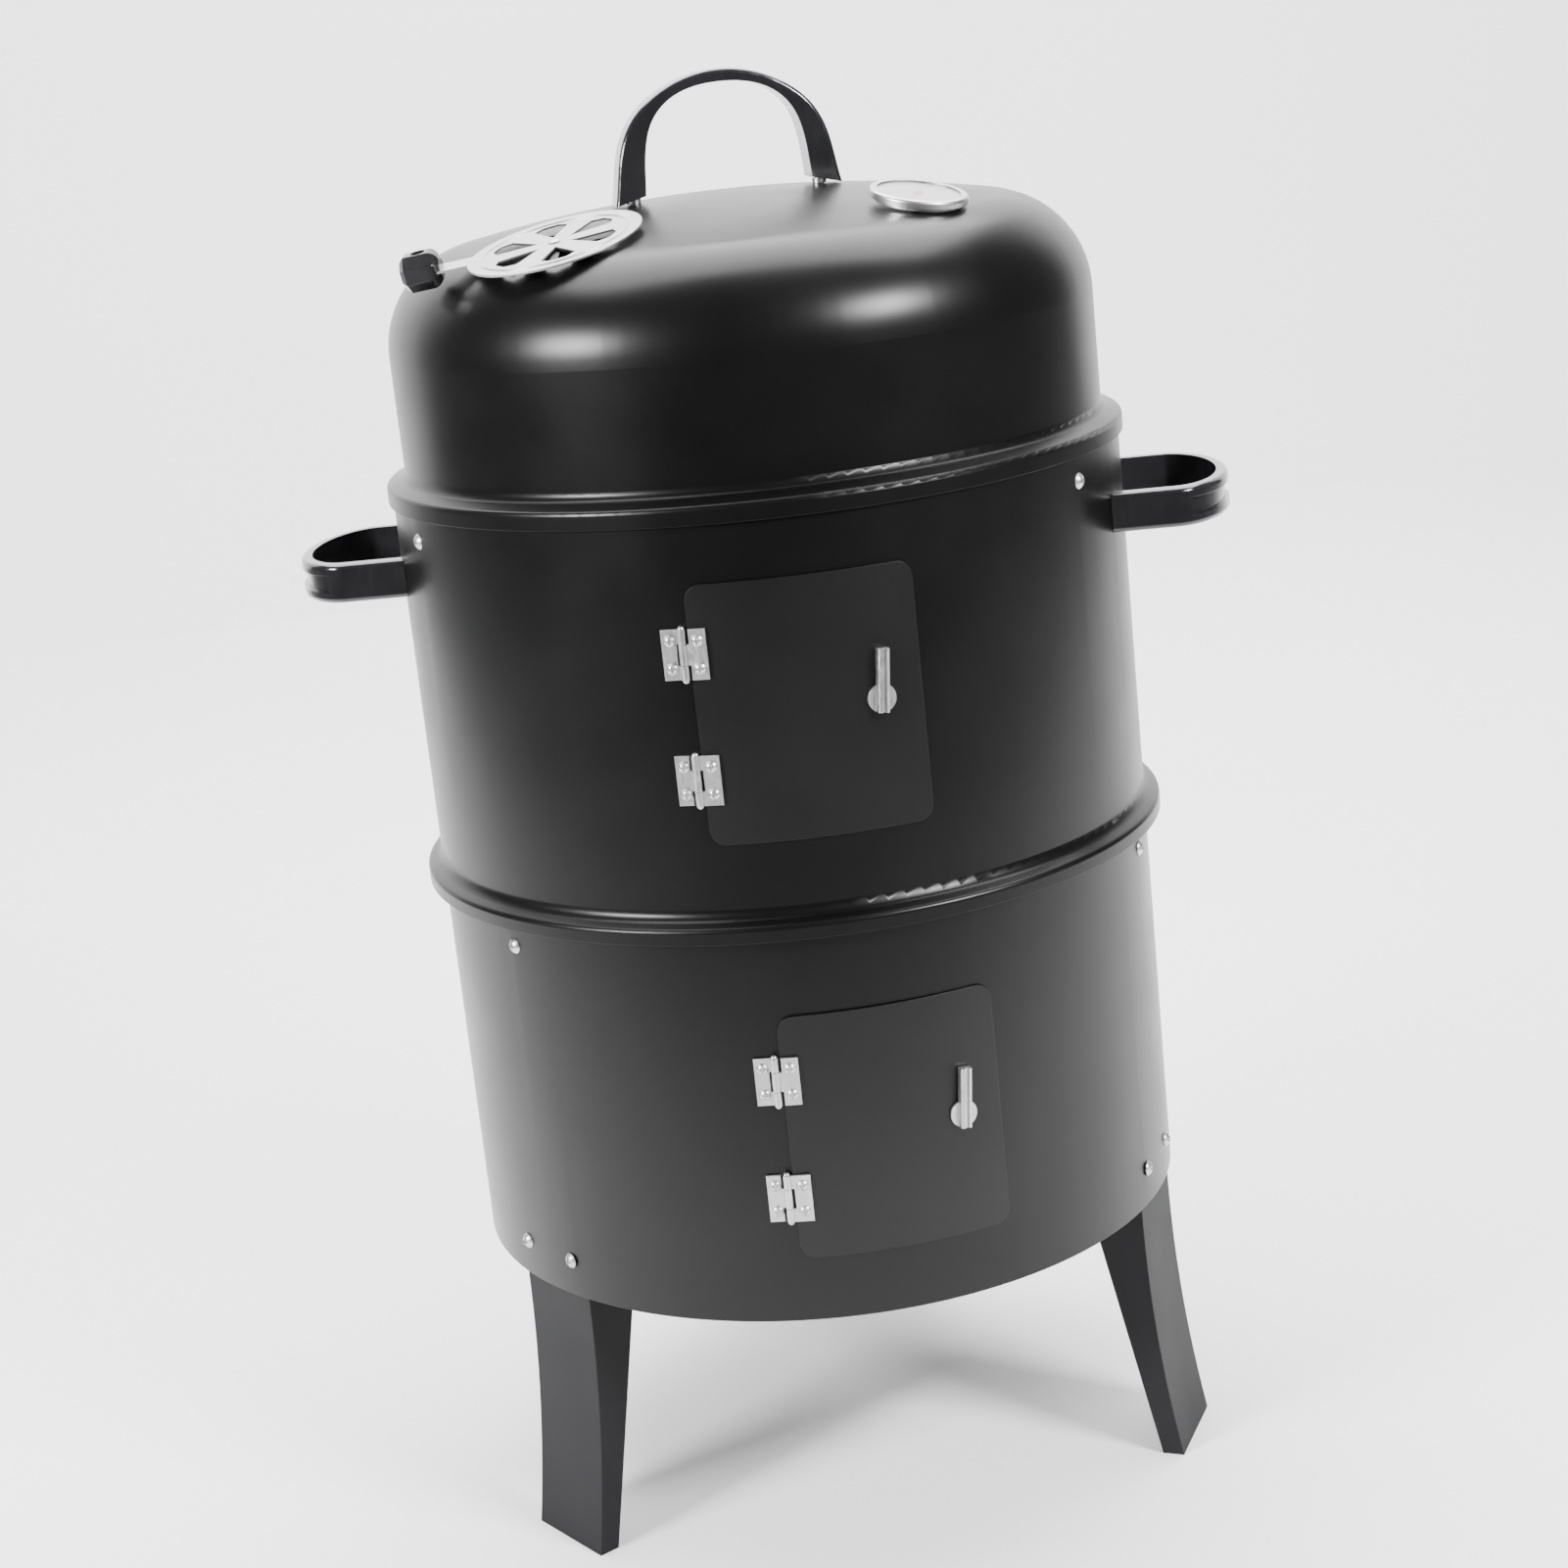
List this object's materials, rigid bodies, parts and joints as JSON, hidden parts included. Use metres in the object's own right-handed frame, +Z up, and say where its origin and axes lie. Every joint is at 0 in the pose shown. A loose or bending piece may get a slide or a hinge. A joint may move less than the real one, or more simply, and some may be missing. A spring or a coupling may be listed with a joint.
{
  "type": "vertical water smoker",
  "caption": "Vertical charcoal water smoker: domed lid with vent and thermometer, stacked barrels with hinged doors, inner bowls and grates, splayed legs.",
  "frame": {"origin": "on the barrels' axis, at the floor under the legs", "axes": "+Z up, the doors face -Y, the side handles point along -X and +X, turned a little"},
  "size_m": [0.484, 0.398, 0.7477],
  "materials": {
    "barrel_enamel": "satin black heat-proof enamel on steel",
    "door_enamel": "satin black heat-proof enamel on steel, a little duller than the barrels",
    "leg_enamel": "matt black powder coat on steel",
    "bowl_enamel": "gloss black porcelain enamel on steel",
    "grate_chrome": "chrome-plated steel wire",
    "handle_phenolic": "glossy black moulded phenolic",
    "vent_chrome": "polished chrome plate",
    "fitting_steel": "plain steel fittings",
    "zinc_plate": "bright zinc-plated steel",
    "dial_white": "white printed dial",
    "lens_glass": "clear flat glass",
    "pointer_red": "red painted needle"
  },
  "bodies": {
    "lower_barrel": {"lower_barrel": "barrel_enamel", "lower_hinge_fixed_leaves": "zinc_plate", "lower_hinge_fixed_screws": "zinc_plate", "lower_hinge_pins": "zinc_plate", "lower_brackets": "zinc_plate", "lower_bracket_bolts": "zinc_plate", "lower_bracket_nuts": "zinc_plate", "leg_left": "leg_enamel", "leg_right": "leg_enamel", "leg_rear": "leg_enamel", "leg_bolts": "zinc_plate", "leg_nuts": "zinc_plate"},
    "upper_barrel": {"upper_barrel": "barrel_enamel", "upper_hinge_fixed_leaves": "zinc_plate", "upper_hinge_fixed_screws": "zinc_plate", "upper_hinge_pins": "zinc_plate", "upper_brackets": "zinc_plate", "upper_bracket_bolts": "zinc_plate", "upper_bracket_nuts": "zinc_plate", "side_handle_left": "handle_phenolic", "side_handle_right": "handle_phenolic", "side_handle_screws": "zinc_plate", "side_handle_washers": "zinc_plate"},
    "lid": {"lid_shell": "barrel_enamel", "lid_handle": "handle_phenolic", "lid_handle_spacers": "vent_chrome", "lid_handle_washers": "zinc_plate", "lid_handle_screws": "zinc_plate", "vent_spacer": "fitting_steel", "vent_rivet": "vent_chrome", "thermometer_case": "fitting_steel", "thermometer_bezel": "vent_chrome", "thermometer_dial": "dial_white", "thermometer_lens": "lens_glass", "thermometer_stem": "fitting_steel", "thermometer_nut": "fitting_steel"},
    "vent_damper": {"vent_damper": "vent_chrome", "vent_knob": "handle_phenolic", "vent_knob_screw": "fitting_steel"},
    "thermometer_pointer": {"thermometer_pointer": "pointer_red"},
    "upper_door": {"upper_door": "door_enamel", "upper_hinge_door_leaves": "zinc_plate", "upper_hinge_door_screws": "zinc_plate"},
    "upper_latch": {"upper_latch_lever": "zinc_plate", "upper_latch_cam": "zinc_plate", "upper_latch_nut": "zinc_plate"},
    "lower_door": {"lower_door": "door_enamel", "lower_hinge_door_leaves": "zinc_plate", "lower_hinge_door_screws": "zinc_plate"},
    "lower_latch": {"lower_latch_lever": "zinc_plate", "lower_latch_cam": "zinc_plate", "lower_latch_nut": "zinc_plate"},
    "upper_grate": {"upper_grate": "grate_chrome"},
    "lower_grate": {"lower_grate": "grate_chrome"},
    "water_bowl": {"water_bowl": "bowl_enamel"},
    "charcoal_bowl": {"charcoal_bowl": "bowl_enamel"}
  },
  "joints": [
    {"name": "upper_barrel_lift", "type": "slide", "parent": "lower_barrel", "child": "upper_barrel", "axis": [0, 0, 1], "range_m": [0, 0.2]},
    {"name": "lid_lift", "type": "slide", "parent": "upper_barrel", "child": "lid", "axis": [0, 0, 1], "range_m": [0, 0.18]},
    {"name": "vent_turn", "type": "hinge", "parent": "lid", "child": "vent_damper", "pos_m": [-0.09706, -0.08648, 0.67476], "axis": [-0.1743, -0.1553, 0.9724], "range_deg": [0, 39]},
    {"name": "thermometer_pointer_turn", "type": "hinge", "parent": "lid", "child": "thermometer_pointer", "pos_m": [0.07954, -0.09513, 0.67583], "axis": [-0.1534, 0.1834, -0.971], "range_deg": [0, 270]},
    {"name": "upper_door_swing", "type": "hinge", "parent": "upper_barrel", "child": "upper_door", "pos_m": [-0.06745, -0.17992, 0.457], "axis": [0, 0, -1], "range_deg": [0, 150]},
    {"name": "upper_latch_turn", "type": "hinge", "parent": "upper_door", "child": "upper_latch", "pos_m": [0.0223, -0.18869, 0.457], "axis": [-0.1174, 0.9931, 0], "range_deg": [0, 90]},
    {"name": "lower_door_swing", "type": "hinge", "parent": "lower_barrel", "child": "lower_door", "pos_m": [-0.04664, -0.1864, 0.2415], "axis": [0, 0, -1], "range_deg": [0, 150]},
    {"name": "lower_latch_turn", "type": "hinge", "parent": "lower_door", "child": "lower_latch", "pos_m": [0.04352, -0.18495, 0.2415], "axis": [-0.2291, 0.9734, 0], "range_deg": [0, 90]},
    {"name": "upper_grate_lift", "type": "slide", "parent": "upper_barrel", "child": "upper_grate", "axis": [0, 0, 1], "range_m": [0, 0.05]},
    {"name": "water_bowl_lift", "type": "slide", "parent": "lower_barrel", "child": "water_bowl", "axis": [0, 0, 1], "range_m": [0, 0.12]},
    {"name": "lower_grate_lift", "type": "slide", "parent": "water_bowl", "child": "lower_grate", "axis": [0, 0, 1], "range_m": [0, 0.03]},
    {"name": "charcoal_bowl_lift", "type": "slide", "parent": "lower_barrel", "child": "charcoal_bowl", "axis": [0, 0, 1], "range_m": [0, 0.035]}
  ]
}
